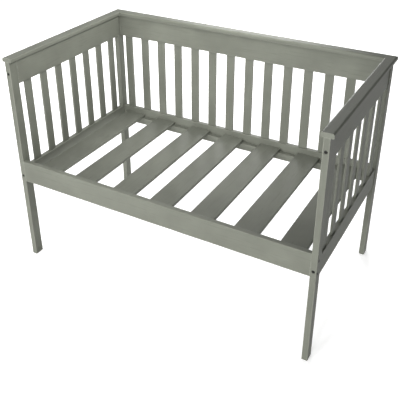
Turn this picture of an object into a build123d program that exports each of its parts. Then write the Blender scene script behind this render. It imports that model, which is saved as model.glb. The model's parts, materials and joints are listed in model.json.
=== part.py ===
"""Toddler bed with a slatted back and slatted ends, an open front and a slatted base.

Millimetres, +Z up. X runs along the bed, Y from the open front to the back.
The origin is on the floor, under the middle of the bed's bounding box.
"""
import os

from build123d import *

os.makedirs("parts", exist_ok=True)

# Driving dimensions
bed_length = 1385.0  # over the outer faces of the posts
bed_depth = 792.0  # over the front and back faces of the posts
bed_height = 984.0  # floor to the top of the caps
post_width = 24.0
post_depth = 42.0
board_thickness = 20.0  # end boards and back boards
board_setback = 4.0  # a board lies this far behind the outer faces of the posts
edge_ease = 1.5  # small rounding left by sanding
cap_overhang = 11.0
cap_thickness = 18.0
cap_nose = 7.0  # rounding of a cap's upper long edges
cap_underside_ease = 2.5

# Heights of the boards
top_board_low = 861.0
low_board_low = 384.0
low_board_high = 473.0
front_rail_low = 405.0
front_rail_high = 505.0
front_rail_thickness = 22.0
front_rail_ease = 4.0

# Upright slats
slat_width = 41.0
slat_thickness = 8.0
slat_ease = 1.5
slat_tenon = 12.0  # depth of the mortise that a slat's end goes into
tenon_play = 0.2  # clearance on each side of a slat in its mortise
tenon_gap = 1.0  # clearance over a slat's upper end
end_slat_count = 7
end_slat_pitch = 99.0
back_slat_count = 14
back_slat_pitch = 96.0

# Slatted base
base_slat_width = 106.0
base_slat_thickness = 15.0
base_slat_ease = 2.0
base_slat_starts = [-645.0, -460.0, -255.0, -70.0, 125.0, 320.0, 515.0]  # left edge of each base slat
deck_height = 447.0  # top of the base slats
base_slat_play = 1.0  # gap between a base slat's end and the board beyond it
ledger_width = 25.0
ledger_height = 28.0
ledger_stop = 45.0  # from a post to the end of a ledger, clear of the barrel nuts

# Bolts and barrel nuts
bolt_head_radius = 6.0
bolt_head_height = 4.0
bolt_head_round = 1.0
bolt_socket_radius = 2.9
bolt_socket_depth = 2.5
bolt_radius = 3.0
bolt_hole_radius = 3.4
bolt_sink_radius = 6.5
bolt_sink_depth = 5.0
bolt_overrun = 6.0  # how far a bolt's tip passes the middle of its nut
bolt_end_play = 0.5  # room past a bolt's tip
nut_radius = 5.0
nut_length = 14.0
nut_chamfer = 0.8
nut_play = 0.2
nut_bore_play = 0.05
nut_setback = 32.0  # from the end of a board to the middle of its barrel nut
end_bolt_heights = {"bottom": 430.0, "top": 914.0}  # front to back, into the end boards
back_bolt_heights = {"bottom": 405.0, "top": 885.0}  # across the bed, into the back boards
rail_bolt_heights = [417.0, 474.0]  # across the bed, into the front rail
rail_bolt_inset = 15.0  # from the front faces of the posts to the middle of a rail bolt

# Dowels
dowel_radius = 4.0
dowel_chamfer = 1.0
dowel_play = 0.1
board_dowel_length = 32.0
end_dowel_in_post = 16.0
cross_dowel_in_post = 11.0
end_dowel_heights = {"bottom": 453.0, "top": 940.0}
back_dowel_heights = {"bottom": 446.0, "top": 940.0}
rail_dowel_height = 446.0
cap_dowel_length = 20.0
cap_dowel_in_cap = 9.0
end_cap_dowel_spacing = 420.0
end_cap_dowel_count = 2
back_cap_dowel_spacing = 380.0
back_cap_dowel_count = 4

# Wood screws
screw_head_radius = 3.9
screw_radius = 2.0
screw_play = 0.1
screw_length = 38.0
screw_point = 4.0
screw_tip_radius = 0.1
ledger_screw_offset = 30.0  # beside a base slat's middle, so that the slat hides the screw
screw_recess = 2.2
screw_recess_depth = 1.2

# Derived places
post_height = bed_height - cap_thickness
front_face = -(bed_depth + cap_overhang) / 2
back_face = front_face + bed_depth
side_face = bed_length / 2
inner_side = side_face - post_width
end_front = front_face + post_depth
end_back = back_face - post_depth
end_mid_y = (front_face + back_face) / 2
board_inset = board_setback + board_thickness / 2  # outer face of the posts to the middle of a board
end_board_x = side_face - board_inset
end_bolt_x = side_face - post_width / 2
back_board_y = back_face - board_inset
rail_mid_y = front_face + front_rail_thickness / 2
rail_bolt_y = front_face + rail_bolt_inset
rail_back = front_face + front_rail_thickness
back_board_face = back_face - board_setback - board_thickness
cap_width = post_width + 2 * cap_overhang
cap_back = back_face + cap_overhang
cap_corner_x = side_face + cap_overhang
cap_mid_z = post_height + cap_thickness / 2
ledger_half_length = inner_side - ledger_stop
ledger_top = deck_height - base_slat_thickness
ledger_low = ledger_top - ledger_height
front_ledger_y = rail_back + ledger_width / 2
back_ledger_y = back_board_face - ledger_width / 2

sides = {"left": -1, "right": 1}
board_spans = {"bottom": (low_board_low, low_board_high), "top": (top_board_low, post_height)}


def along_x(x, y, z):
    """Plane square to the bed's length, for a profile drawn in Y and Z."""
    return Plane(origin=(x, y, z), x_dir=(0, 1, 0), z_dir=(1, 0, 0))


def along_y(x, y, z):
    """Plane square to the bed's depth, for a profile drawn in -X and Z."""
    return Plane(origin=(x, y, z), x_dir=(-1, 0, 0), z_dir=(0, 1, 0))


def facing(x, y, z, x_way=0, y_way=0, z_way=0):
    """Plane at a point, looking out along the given way."""
    return Plane(origin=(x, y, z), z_dir=(x_way, y_way, z_way))


def centred(count, pitch, middle=0.0):
    """Evenly spaced places about a middle."""
    return [middle + (index - (count - 1) / 2) * pitch for index in range(count)]


def finish(piece, label):
    """Name a finished piece and write its STEP file."""
    piece.part.label = label
    export_step(piece.part, f"parts/{label}.step")


end_slat_places = centred(end_slat_count, end_slat_pitch, end_mid_y)
back_slat_places = centred(back_slat_count, back_slat_pitch)
base_slat_middles = [start + base_slat_width / 2 for start in base_slat_starts]
ledger_screw_places = [middle + ledger_screw_offset for middle in base_slat_middles]
end_cap_dowel_places = centred(end_cap_dowel_count, end_cap_dowel_spacing, end_mid_y)
back_cap_dowel_places = centred(back_cap_dowel_count, back_cap_dowel_spacing)


# Seats of the fasteners: each is a plane on the face where the fastener starts, looking out
end_bolt_seats = [
    facing(sx * end_bolt_x, face, height, y_way=sy)
    for sx in sides.values()
    for face, sy in [(front_face, -1), (back_face, 1)]
    for height in end_bolt_heights.values()
]
rail_bolt_seats = [
    facing(sx * side_face, rail_bolt_y, height, x_way=sx)
    for sx in sides.values()
    for height in rail_bolt_heights
]
back_bolt_seats = [
    facing(sx * side_face, back_board_y, height, x_way=sx)
    for sx in sides.values()
    for height in back_bolt_heights.values()
]
end_dowel_seats = [
    facing(sx * end_bolt_x, face, height, y_way=sy)
    for sx in sides.values()
    for face, sy in [(end_front, -1), (end_back, 1)]
    for height in end_dowel_heights.values()
]
cross_dowel_seats = [
    facing(sx * inner_side, y, height, x_way=sx)
    for sx in sides.values()
    for y, height in [(rail_mid_y, rail_dowel_height)]
    + [(back_board_y, height) for height in back_dowel_heights.values()]
]
cap_dowel_seats = [
    facing(sx * end_board_x, place, post_height, z_way=1)
    for sx in sides.values()
    for place in end_cap_dowel_places
] + [facing(place, back_board_y, post_height, z_way=1) for place in back_cap_dowel_places]
deck_screw_seats = [
    facing(x, y, ledger_low, z_way=-1) for x in base_slat_middles for y in [front_ledger_y, back_ledger_y]
]
ledger_screw_seats = [
    facing(x, y, ledger_low + ledger_height / 2, y_way=sy)
    for x in ledger_screw_places
    for y, sy in [(rail_back + ledger_width, 1), (back_board_face - ledger_width, -1)]
]


def shifted(seats, distance):
    """The same seats moved along their own axes, outwards for a positive distance."""
    return [seat.offset(distance) for seat in seats]


def turned(seats):
    """The same seats, looking inwards."""
    return [Plane(origin=seat.origin, z_dir=-seat.z_dir) for seat in seats]


end_board_bolt_seats = shifted(end_bolt_seats, -post_depth)
cross_bolt_seats = shifted(rail_bolt_seats + back_bolt_seats, -post_width)
bolt_hole_depth = nut_setback + bolt_overrun + bolt_end_play


# Posts: one square-cut leg at each corner, from the floor to the underside of the cap
for side, sx in sides.items():
    for row, mid_y in {"front": front_face + post_depth / 2, "back": back_face - post_depth / 2}.items():
        with BuildPart() as post:
            with BuildSketch(Plane.XY):
                with Locations((sx * end_bolt_x, mid_y)):
                    RectangleRounded(post_width, post_depth, edge_ease)
            extrude(amount=post_height)
            with Locations(*end_bolt_seats):
                CounterBoreHole(bolt_hole_radius, bolt_sink_radius, bolt_sink_depth, post_depth)
            with Locations(*rail_bolt_seats, *back_bolt_seats):
                CounterBoreHole(bolt_hole_radius, bolt_sink_radius, bolt_sink_depth, post_width)
            with Locations(*turned(end_dowel_seats)):
                Hole(dowel_radius + dowel_play, end_dowel_in_post)
            with Locations(*turned(cross_dowel_seats)):
                Hole(dowel_radius + dowel_play, cross_dowel_in_post)
        finish(post, f"{row}_{side}_post")


# End boards: a top and a bottom board between the posts of each end, mortised for the end slats
for side, sx in sides.items():
    for level, (low, high) in board_spans.items():
        mortise_floor = high - slat_tenon if level == "bottom" else low
        nut_face, nut_way = (low, -1) if level == "bottom" else (high, 1)
        nut_seats = [
            facing(sx * end_bolt_x, y, nut_face, z_way=nut_way)
            for y in [end_front + nut_setback, end_back - nut_setback]
        ]
        with BuildPart() as end_board:
            with BuildSketch(along_y(sx * end_board_x, end_front, (low + high) / 2)):
                RectangleRounded(board_thickness, high - low, edge_ease)
            extrude(amount=end_back - end_front)
            with BuildSketch(Plane.XY.offset(mortise_floor)):
                with Locations([(sx * end_board_x, place) for place in end_slat_places]):
                    Rectangle(slat_thickness + 2 * tenon_play, slat_width + 2 * tenon_play)
            extrude(amount=slat_tenon, mode=Mode.SUBTRACT)
            with Locations(*end_board_bolt_seats):
                Hole(bolt_hole_radius, bolt_hole_depth)
            with Locations(*nut_seats):
                Hole(nut_radius + nut_play, abs(nut_face - end_bolt_heights[level]) + nut_length / 2)
            with Locations(*end_dowel_seats):
                Hole(dowel_radius + dowel_play, board_dowel_length - end_dowel_in_post)
            with Locations(*cap_dowel_seats):
                Hole(dowel_radius + dowel_play, cap_dowel_length - cap_dowel_in_cap)
        finish(end_board, f"{side}_{level}_board")


# Back boards: a top and a bottom board between the back posts, mortised for the back slats
for level, (low, high) in board_spans.items():
    mortise_floor = high - slat_tenon if level == "bottom" else low
    nut_face, nut_way = (low, -1) if level == "bottom" else (high, 1)
    nut_seats = [
        facing(sx * (inner_side - nut_setback), back_board_y, nut_face, z_way=nut_way)
        for sx in sides.values()
    ]
    with BuildPart() as back_board:
        with BuildSketch(along_x(-inner_side, back_board_y, (low + high) / 2)):
            RectangleRounded(board_thickness, high - low, edge_ease)
        extrude(amount=2 * inner_side)
        with BuildSketch(Plane.XY.offset(mortise_floor)):
            with Locations([(place, back_board_y) for place in back_slat_places]):
                Rectangle(slat_width + 2 * tenon_play, slat_thickness + 2 * tenon_play)
        extrude(amount=slat_tenon, mode=Mode.SUBTRACT)
        with Locations(*cross_bolt_seats):
            Hole(bolt_hole_radius, bolt_hole_depth)
        with Locations(*nut_seats):
            Hole(nut_radius + nut_play, abs(nut_face - back_bolt_heights[level]) + nut_length / 2)
        with Locations(*cross_dowel_seats):
            Hole(dowel_radius + dowel_play, board_dowel_length - cross_dowel_in_post)
        with Locations(*cap_dowel_seats):
            Hole(dowel_radius + dowel_play, cap_dowel_length - cap_dowel_in_cap)
        with Locations(*ledger_screw_seats):
            Hole(screw_radius + screw_play, screw_length + screw_play)
    finish(back_board, f"back_{level}_board")


# Front rail: one low board between the front posts, flush with their front faces
with BuildPart() as front_rail:
    with BuildSketch(along_x(-inner_side, rail_mid_y, (front_rail_low + front_rail_high) / 2)) as profile:
        Rectangle(front_rail_thickness, front_rail_high - front_rail_low)
        fillet(profile.vertices().group_by(Axis.Y)[-1], front_rail_ease)
        fillet(profile.vertices().group_by(Axis.Y)[0], edge_ease)
    extrude(amount=2 * inner_side)
    with Locations(*cross_bolt_seats):
        Hole(bolt_hole_radius, bolt_hole_depth)
    with Locations(
        *[
            facing(sx * (inner_side - nut_setback), rail_back, height, y_way=1)
            for sx in sides.values()
            for height in rail_bolt_heights
        ]
    ):
        Hole(nut_radius + nut_play, front_rail_thickness - rail_bolt_inset + nut_length / 2)
    with Locations(*cross_dowel_seats):
        Hole(dowel_radius + dowel_play, board_dowel_length - cross_dowel_in_post)
    with Locations(*ledger_screw_seats):
        Hole(screw_radius + screw_play, screw_length + screw_play)
finish(front_rail, "front_rail")


# Caps: a rounded board on top of each slatted side, mitred where two of them meet
mitres = {
    side: Plane(origin=(sx * cap_corner_x, cap_back, 0), z_dir=(-sx, 1, 0)) for side, sx in sides.items()
}
end_cap_length = cap_back - front_face
caps = {
    f"{side}_cap": (along_y(sx * end_bolt_x, front_face, cap_mid_z), end_cap_length, [side], Keep.BOTTOM)
    for side, sx in sides.items()
}
caps["back_cap"] = (
    along_x(-cap_corner_x, back_face - post_width / 2, cap_mid_z),
    2 * cap_corner_x,
    ["left", "right"],
    Keep.TOP,
)
for label, (section, length, corners, kept) in caps.items():
    with BuildPart() as cap:
        with BuildSketch(section) as profile:
            Rectangle(cap_width, cap_thickness)
            fillet(profile.vertices().group_by(Axis.Y)[-1], cap_nose)
            fillet(profile.vertices().group_by(Axis.Y)[0], cap_underside_ease)
        extrude(amount=length)
        for corner in corners:
            split(bisect_by=mitres[corner], keep=kept)
        with Locations(*turned(cap_dowel_seats)):
            Hole(dowel_radius + dowel_play, cap_dowel_in_cap)
    finish(cap, label)


# Upright slats: flat bars with eased edges, their ends in the mortises
slat_low = low_board_high - slat_tenon
slat_length = top_board_low + slat_tenon - tenon_gap - slat_low
for side, sx in sides.items():
    for number, place in enumerate(end_slat_places, start=1):
        with BuildPart() as end_slat:
            with BuildSketch(Plane.XY.offset(slat_low)):
                with Locations((sx * end_board_x, place)):
                    RectangleRounded(slat_thickness, slat_width, slat_ease)
            extrude(amount=slat_length)
        finish(end_slat, f"{side}_slat_{number}")

for number, place in enumerate(back_slat_places, start=1):
    with BuildPart() as back_slat:
        with BuildSketch(Plane.XY.offset(slat_low)):
            with Locations((place, back_board_y)):
                RectangleRounded(slat_width, slat_thickness, slat_ease)
        extrude(amount=slat_length)
    finish(back_slat, f"back_slat_{number:02d}")


# Ledgers: bars along the inside of the front rail and the bottom back board that carry the base
for row, mid_y in {"front": front_ledger_y, "back": back_ledger_y}.items():
    with BuildPart() as ledger:
        with BuildSketch(along_x(-ledger_half_length, mid_y, ledger_low + ledger_height / 2)):
            RectangleRounded(ledger_width, ledger_height, edge_ease)
        extrude(amount=2 * ledger_half_length)
        with Locations(*deck_screw_seats):
            CounterSinkHole(screw_radius + screw_play, screw_head_radius + screw_play, ledger_height, 90)
        with Locations(*ledger_screw_seats):
            CounterSinkHole(screw_radius + screw_play, screw_head_radius + screw_play, ledger_width, 90)
    finish(ledger, f"{row}_ledger")


# Base slats: wide boards from the front rail to the back board
base_front = rail_back + base_slat_play
base_back = back_board_face - base_slat_play
for number, middle in enumerate(base_slat_middles, start=1):
    with BuildPart() as base_slat:
        with BuildSketch(along_y(middle, base_front, deck_height - base_slat_thickness / 2)):
            RectangleRounded(base_slat_width, base_slat_thickness, base_slat_ease)
        extrude(amount=base_back - base_front)
        with Locations(*deck_screw_seats):
            Hole(screw_radius + screw_play, screw_length + screw_play)
    finish(base_slat, f"base_slat_{number}")


# Bolts: a sunk cylinder head with a hexagon socket, and a shank that reaches past its barrel nut
def make_bolts(seats, shank_length, label):
    """A group of bolts whose heads stand on the floors of their counterbores."""
    floors = shifted(seats, -bolt_sink_depth)
    with BuildPart() as bolts:
        with Locations(*floors):
            Cylinder(bolt_head_radius, bolt_head_height, align=(Align.CENTER, Align.CENTER, Align.MIN))
        fillet(bolts.edges().filter_by(GeomType.CIRCLE), bolt_head_round)
        with Locations(*floors):
            Cylinder(bolt_radius, shank_length, align=(Align.CENTER, Align.CENTER, Align.MAX))
        with BuildSketch(*shifted(floors, bolt_head_height)):
            RegularPolygon(bolt_socket_radius, 6)
        extrude(amount=-bolt_socket_depth, mode=Mode.SUBTRACT)
    finish(bolts, label)


shank_in_board = nut_setback + bolt_overrun
make_bolts(end_bolt_seats, post_depth - bolt_sink_depth + shank_in_board, "end_bolts")
make_bolts(rail_bolt_seats, post_width - bolt_sink_depth + shank_in_board, "rail_bolts")
make_bolts(back_bolt_seats, post_width - bolt_sink_depth + shank_in_board, "back_bolts")


# Barrel nuts: short cylinders across the bolts
upright_nuts = [
    Plane(origin=seat.origin)
    for seat in shifted(end_board_bolt_seats, -nut_setback)
    + shifted(back_bolt_seats, -post_width - nut_setback)
]
level_nuts = [
    Plane(origin=seat.origin, z_dir=(0, 1, 0))
    for seat in shifted(rail_bolt_seats, -post_width - nut_setback)
]
with BuildPart() as barrel_nuts:
    with Locations(*upright_nuts, *level_nuts):
        Cylinder(nut_radius, nut_length)
    chamfer(barrel_nuts.edges().filter_by(GeomType.CIRCLE), nut_chamfer)
    with Locations(*end_board_bolt_seats, *cross_bolt_seats):
        Hole(bolt_radius + nut_bore_play, bolt_hole_depth)
finish(barrel_nuts, "barrel_nuts")


# Dowels: fluteless pins with chamfered ends
def make_dowels(seats, length, label):
    """A group of equal dowels, each sunk by its length below its seat."""
    with BuildPart() as dowels:
        with Locations(*seats):
            Cylinder(dowel_radius, length, align=(Align.CENTER, Align.CENTER, Align.MAX))
        chamfer(dowels.edges().filter_by(GeomType.CIRCLE), dowel_chamfer)
    finish(dowels, label)


end_dowel_tops = shifted(end_dowel_seats, end_dowel_in_post)
cross_dowel_tops = shifted(cross_dowel_seats, cross_dowel_in_post)
make_dowels(end_dowel_tops + cross_dowel_tops, board_dowel_length, "board_dowels")
make_dowels(shifted(cap_dowel_seats, cap_dowel_in_cap), cap_dowel_length, "cap_dowels")


# Wood screws: countersunk, through the ledgers into the base slats and into the boards behind
def make_screws(seats, label):
    """A group of equal countersunk screws driven in at the seats."""
    down = (Align.CENTER, Align.CENTER, Align.MAX)
    head_height = screw_head_radius - screw_radius
    with BuildPart() as screws:
        with Locations(*seats):
            Cone(screw_radius, screw_head_radius, head_height, align=down)
            Cylinder(screw_radius, screw_length - screw_point, align=down)
        with Locations(*shifted(seats, screw_point - screw_length)):
            Cone(screw_tip_radius, screw_radius, screw_point, align=down)
        with BuildSketch(*seats):
            Rectangle(screw_recess, screw_recess)
        extrude(amount=-screw_recess_depth, mode=Mode.SUBTRACT)
    finish(screws, label)


make_screws(deck_screw_seats, "base_slat_screws")
make_screws(ledger_screw_seats, "ledger_screws")
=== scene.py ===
"""Looks for the toddler bed: satin grey-green painted wood, dark sunk bolts, a pale floor and soft light."""
import json
import math

import bpy
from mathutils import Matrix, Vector


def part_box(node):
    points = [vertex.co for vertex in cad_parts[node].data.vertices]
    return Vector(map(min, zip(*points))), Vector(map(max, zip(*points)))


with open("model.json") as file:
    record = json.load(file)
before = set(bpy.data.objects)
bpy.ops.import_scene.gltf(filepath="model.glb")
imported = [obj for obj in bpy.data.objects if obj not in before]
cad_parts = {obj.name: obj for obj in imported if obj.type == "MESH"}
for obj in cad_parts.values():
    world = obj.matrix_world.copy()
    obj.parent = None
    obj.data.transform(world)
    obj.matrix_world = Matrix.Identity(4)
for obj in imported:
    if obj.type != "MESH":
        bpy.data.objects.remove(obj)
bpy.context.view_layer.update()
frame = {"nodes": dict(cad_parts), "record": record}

MM = 0.001

# Camera: place in metres, angles in degrees, lens and sensor in mm.
# The azimuth turns from +Y towards -X, and the fall is below the horizon.
CAMERA_PLACE = Vector((1.201, -2.158, 1.901))
CAMERA_AZIMUTH = 29.16
CAMERA_FALL = 27.79
CAMERA_LENS = 57.58
CAMERA_SENSOR = 36.0
CAMERA_SHIFT = (0.0, -0.15)

# Paint colours, linear
PAINT = (0.124, 0.130, 0.107, 1.0)
PAINT_LIGHT = (0.143, 0.150, 0.124, 1.0)
PAINT_DARK = (0.105, 0.110, 0.090, 1.0)
PAINT_WORN = (0.215, 0.220, 0.188, 1.0)

# Dark and light tones of the fittings and the floor, linear
BLACK_OXIDE = ((0.012, 0.012, 0.011, 1.0), (0.05, 0.05, 0.046, 1.0))
ZINC = ((0.36, 0.37, 0.37, 1.0), (0.55, 0.55, 0.53, 1.0))
BEECH = ((0.42, 0.26, 0.13, 1.0), (0.60, 0.42, 0.25, 1.0))
FLOOR = ((0.84, 0.84, 0.84, 1.0), (0.88, 0.88, 0.88, 1.0))
WHITE = (1.0, 1.0, 1.0, 1.0)

GRAIN_STRETCH = 0.035  # the noise along the grain is this much slower than across it
WARP_SIZE = 0.03  # how far the grain wanders from straight
PIECE_SHIFT = (1.37, 0.71, 2.13)  # moves the noise from one piece to the next
EDGE_BAND = 3.0 * MM  # width of the worn band along an edge
EDGE_RAG = 6.0 * MM  # how far the worn band's rim wanders
WORN_STRENGTH = 0.8  # how much of the worn colour shows on an edge
WORN_POLISH = 0.08  # how much smoother the worn paint is
PEEL_ROUGHNESS = 0.08  # roughness that the paint's fine peel adds
GRAIN_RELIEF = 0.55  # shares of grain, brush strokes and peel in the paint's relief
BRUSH_RELIEF = 0.25
PEEL_RELIEF = 0.2
SOFT_SPECULAR = 0.2  # weak mirror light on the paint and the floor

# A Mix node's sockets for the factor, colour A and colour B, and for the mixed colour
COLOUR_MIX_INPUTS = (0, 6, 7)
COLOUR_MIX_OUTPUT = 2

FLOOR_HALF = 30.0  # metres
FLOOR_GLOW = 0.42  # keeps the far floor as white as the near floor
WORLD_STRENGTH = 0.05  # light from all round

# Soft panels: name, place, aim, width, height and watts
PANELS = [
    ("key_right", (0.6, -6.0, 1.5), (0.1, 0.0, 0.6), 1.0, 1.4, 205.0),
    ("key_left", (-1.2, -5.4, 1.5), (0.0, 0.0, 0.6), 1.6, 1.4, 190.0),
    ("fill", (0.25, 0.0, 1.8), (-0.7, 0.1, 1.4), 1.3, 0.4, 30.0),
    ("top", (0.0, 0.0, 4.0), (0.0, 0.0, 0.0), 4.0, 4.0, 50.0),
    ("backdrop", (-3.5, 6.5, 3.0), (-3.5, 6.5, 0.0), 16.0, 8.0, 320.0),
    ("foreground", (-4.5, -8.5, 3.0), (-4.5, -8.5, 0.0), 16.0, 8.0, 320.0),
    ("rear", (-1.6, 4.2, 1.5), (0.0, 0.0, 0.6), 1.6, 1.2, 110.0),
    ("side", (-4.0, 1.2, 1.3), (0.0, 0.0, 0.6), 1.2, 1.2, 80.0),
]


def add_camera():
    """The camera at the photograph's viewing angle."""
    data = bpy.data.cameras.new("camera")
    data.sensor_width = CAMERA_SENSOR
    data.lens = CAMERA_LENS
    data.shift_x, data.shift_y = CAMERA_SHIFT
    camera = bpy.data.objects.new("camera", data)
    camera.location = CAMERA_PLACE
    camera.rotation_euler = (math.radians(90 - CAMERA_FALL), 0, math.radians(CAMERA_AZIMUTH))
    bpy.context.scene.collection.objects.link(camera)
    bpy.context.scene.camera = camera


class Nodes:
    """Builds the node tree of one material."""

    def __init__(self, name):
        self.material = bpy.data.materials.new(name)
        self.material.use_nodes = True
        self.tree = self.material.node_tree
        self.shader = self.tree.nodes["Principled BSDF"]

    def feed(self, socket, value):
        """Links a node's output to the socket, or sets the socket to a plain value."""
        if isinstance(value, bpy.types.NodeSocket):
            self.tree.links.new(value, socket)
        else:
            socket.default_value = value

    def finish(self, **values):
        """Feeds the shader's own sockets, named with _ for each space, and gives the material."""
        for name, value in values.items():
            self.feed(self.shader.inputs[name.replace("_", " ")], value)
        return self.material

    def add(self, kind, **settings):
        """A new node of a kind, with its settings."""
        node = self.tree.nodes.new(kind)
        for key, value in settings.items():
            setattr(node, key, value)
        return node

    def place(self):
        """The point's place on the piece, in metres."""
        return self.add("ShaderNodeTexCoord").outputs["Object"]

    def math(self, operation, a, b):
        """One sum on two values."""
        node = self.add("ShaderNodeMath", operation=operation)
        for socket, value in zip(node.inputs, (a, b)):
            self.feed(socket, value)
        return node.outputs[0]

    def vector(self, operation, a, b):
        """One sum on two vectors."""
        node = self.add("ShaderNodeVectorMath", operation=operation)
        for socket, value in zip(node.inputs, (a, b)):
            self.feed(socket, value)
        return node.outputs[0]

    def noise(self, vector, scale, detail, roughness=0.5):
        """Noise from 0 to 1 at a point; the scale is in cycles per metre."""
        node = self.add("ShaderNodeTexNoise")
        values = {"Vector": vector, "Scale": scale, "Detail": detail, "Roughness": roughness}
        for name, value in values.items():
            self.feed(node.inputs[name], value)
        return node.outputs["Fac"]

    def spread(self, value, source, target=(0.0, 1.0)):
        """Maps the source range onto the target range, and clamps it."""
        node = self.add("ShaderNodeMapRange", clamp=True)
        names = ("Value", "From Min", "From Max", "To Min", "To Max")
        for name, number in zip(names, (value, *source, *target)):
            self.feed(node.inputs[name], number)
        return node.outputs["Result"]

    def mix(self, factor, a, b):
        """Colour a where the factor is 0, and b where it is 1."""
        node = self.add("ShaderNodeMix", data_type="RGBA")
        for index, value in zip(COLOUR_MIX_INPUTS, (factor, a, b)):
            self.feed(node.inputs[index], value)
        return node.outputs[COLOUR_MIX_OUTPUT]

    def bump(self, height, strength, distance, under=None):
        """A bumped normal, on top of another one if that is given."""
        node = self.add("ShaderNodeBump")
        for name, value in {"Height": height, "Strength": strength, "Distance": distance}.items():
            self.feed(node.inputs[name], value)
        if under is not None:
            self.feed(node.inputs["Normal"], under)
        return node.outputs["Normal"]


def worn_edges(n, place, low, high, blotch, grain):
    """1 on the piece's own edges, down to 0 at the rim of the worn band, patchy with the grain."""
    split = n.add("ShaderNodeSeparateXYZ")
    n.feed(split.inputs[0], place)
    reach = []
    for axis in range(3):
        inside_low = n.math("SUBTRACT", split.outputs[axis], low[axis])
        inside_high = n.math("SUBTRACT", high[axis], split.outputs[axis])
        reach.append(n.math("MINIMUM", inside_low, inside_high))
    # The distance to the nearest edge is the second smallest distance to a face
    x, y, z = reach
    pairs = [n.math("MAXIMUM", x, y), n.math("MAXIMUM", y, z), n.math("MAXIMUM", x, z)]
    edge = n.math("MINIMUM", n.math("MINIMUM", pairs[0], pairs[1]), pairs[2])
    wander = n.math("MULTIPLY", n.math("SUBTRACT", blotch, 0.5), EDGE_RAG)
    worn = n.spread(n.math("ADD", edge, wander), (0.0, EDGE_BAND), (1.0, 0.0))
    return n.math("MULTIPLY", worn, n.spread(grain, (0.35, 0.65), (0.15, 1.0)))


def painted_wood(name, low, high, number):
    """Satin paint over sanded softwood: grain, brush strokes and faint wear along the piece's own edges."""
    n = Nodes(name)
    size = high - low
    grain_axis = max(range(3), key=lambda axis: size[axis])
    place = n.place()
    moved = n.vector("ADD", place, [number * step for step in PIECE_SHIFT])
    stretch = [1.0, 1.0, 1.0]
    stretch[grain_axis] = GRAIN_STRETCH
    along = n.vector("MULTIPLY", moved, stretch)
    warp = n.noise(moved, scale=2.2, detail=2.0)
    bent = n.vector("ADD", along, n.math("MULTIPLY", warp, WARP_SIZE))

    grain = n.noise(bent, scale=190.0, detail=5.0, roughness=0.62)
    figure = n.noise(bent, scale=26.0, detail=3.0)
    brush = n.noise(bent, scale=620.0, detail=2.0)
    blotch = n.noise(moved, scale=5.5, detail=3.0, roughness=0.55)
    peel = n.noise(moved, scale=420.0, detail=2.0)
    worn = worn_edges(n, place, low, high, blotch, grain)

    tone = n.mix(n.spread(blotch, (0.3, 0.7)), PAINT_DARK, PAINT_LIGHT)
    tone = n.mix(n.spread(figure, (0.35, 0.65), (0.0, 0.35)), tone, PAINT)
    tone = n.mix(n.spread(grain, (0.46, 0.34), (0.0, 0.75)), tone, PAINT_DARK)
    tone = n.mix(n.math("MULTIPLY", worn, WORN_STRENGTH), tone, PAINT_WORN)

    satin = n.spread(blotch, (0.25, 0.75), (0.46, 0.58))
    rough = n.math("ADD", satin, n.math("MULTIPLY", peel, PEEL_ROUGHNESS))
    rough = n.math("SUBTRACT", rough, n.math("MULTIPLY", worn, WORN_POLISH))

    height = n.math("ADD", n.math("MULTIPLY", grain, GRAIN_RELIEF), n.math("MULTIPLY", brush, BRUSH_RELIEF))
    height = n.math("ADD", height, n.math("MULTIPLY", peel, PEEL_RELIEF))
    normal = n.bump(height, strength=0.45, distance=0.6 * MM)
    normal = n.bump(figure, strength=0.25, distance=1.5 * MM, under=normal)
    return n.finish(Base_Color=tone, Roughness=rough, Normal=normal, Specular_IOR_Level=SOFT_SPECULAR)


def blackened_steel(name):
    """Black-oxide steel of the bolts and screws: dark and a little mottled."""
    n = Nodes(name)
    place = n.place()
    mottle = n.noise(place, scale=900.0, detail=4.0, roughness=0.6)
    fine = n.noise(place, scale=4200.0, detail=2.0)
    tone = n.mix(n.spread(mottle, (0.35, 0.7)), *BLACK_OXIDE)
    rough = n.spread(mottle, (0.3, 0.7), (0.32, 0.55))
    normal = n.bump(fine, strength=0.25, distance=0.05 * MM)
    return n.finish(Base_Color=tone, Roughness=rough, Normal=normal, Metallic=0.85)


def zinc_steel(name):
    """Zinc plating of the barrel nuts, with its faint spangle."""
    n = Nodes(name)
    place = n.place()
    spangle = n.noise(place, scale=700.0, detail=3.0, roughness=0.6)
    fine = n.noise(place, scale=3600.0, detail=2.0)
    tone = n.mix(n.spread(spangle, (0.35, 0.65)), *ZINC)
    rough = n.spread(spangle, (0.3, 0.7), (0.28, 0.45))
    normal = n.bump(fine, strength=0.2, distance=0.05 * MM)
    return n.finish(Base_Color=tone, Roughness=rough, Normal=normal, Metallic=1.0)


def bare_beech(name):
    """Unpainted beech of the dowels: warm, with short dark flecks."""
    n = Nodes(name)
    grain = n.noise(n.place(), scale=600.0, detail=4.0, roughness=0.6)
    tone = n.mix(n.spread(grain, (0.35, 0.65)), *BEECH)
    rough = n.spread(grain, (0.3, 0.7), (0.55, 0.75))
    normal = n.bump(grain, strength=0.3, distance=0.1 * MM)
    return n.finish(Base_Color=tone, Roughness=rough, Normal=normal)


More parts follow.
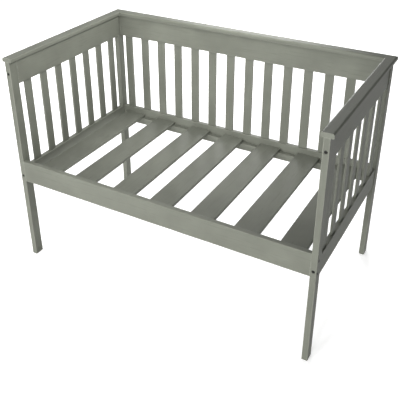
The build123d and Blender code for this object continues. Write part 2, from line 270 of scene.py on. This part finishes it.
def dress_pieces():
    """Gives each piece of the bed its material; every painted piece has its own grain."""
    slots = {part["node"]: part["material_slot"] for part in frame["record"]["subparts"]}
    fittings = {
        "bolt_steel": blackened_steel("bolt_steel"),
        "zinc_steel": zinc_steel("zinc_steel"),
        "dowel_beech": bare_beech("dowel_beech"),
    }
    for number, (node, piece) in enumerate(sorted(frame["nodes"].items())):
        if slots[node] in fittings:
            material = fittings[slots[node]]
        else:
            material = painted_wood(f"paint_{node}", *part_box(node), number)
        piece.data.materials.clear()
        piece.data.materials.append(material)


def add_floor():
    """A plain pale floor, wide enough to fill every view."""
    mesh = bpy.data.meshes.new("floor")
    signs = ((-1, -1), (1, -1), (1, 1), (-1, 1))
    corners = [(x * FLOOR_HALF, y * FLOOR_HALF, 0) for x, y in signs]
    mesh.from_pydata(corners, [], [(0, 1, 2, 3)])
    floor = bpy.data.objects.new("floor", mesh)
    bpy.context.scene.collection.objects.link(floor)
    n = Nodes("floor")
    cloud = n.noise(n.place(), scale=0.8, detail=3.0)
    tone = n.mix(cloud, *FLOOR)
    rough = n.spread(cloud, (0.3, 0.7), (0.75, 0.85))
    mesh.materials.append(n.finish(Base_Color=tone, Roughness=rough, Specular_IOR_Level=SOFT_SPECULAR,
                                   Emission_Color=WHITE, Emission_Strength=FLOOR_GLOW))


def add_panel(name, place, aim, width, height, watts):
    """A soft studio panel that shines from its place towards an aim, hidden from the camera."""
    data = bpy.data.lights.new(name, "AREA")
    data.shape = "RECTANGLE"
    data.size, data.size_y = width, height
    data.energy = watts
    light = bpy.data.objects.new(name, data)
    light.location = place
    light.rotation_euler = (Vector(aim) - Vector(place)).to_track_quat("-Z", "Y").to_euler()
    light.visible_camera = False
    bpy.context.scene.collection.objects.link(light)


def add_world():
    """A weak, even white light from all round."""
    world = bpy.data.worlds.new("studio")
    world.use_nodes = True
    background = world.node_tree.nodes["Background"]
    background.inputs["Color"].default_value = WHITE
    background.inputs["Strength"].default_value = WORLD_STRENGTH
    bpy.context.scene.world = world


add_camera()
dress_pieces()
add_floor()
for panel in PANELS:
    add_panel(*panel)
add_world()
bpy.context.scene.view_settings.view_transform = "Standard"
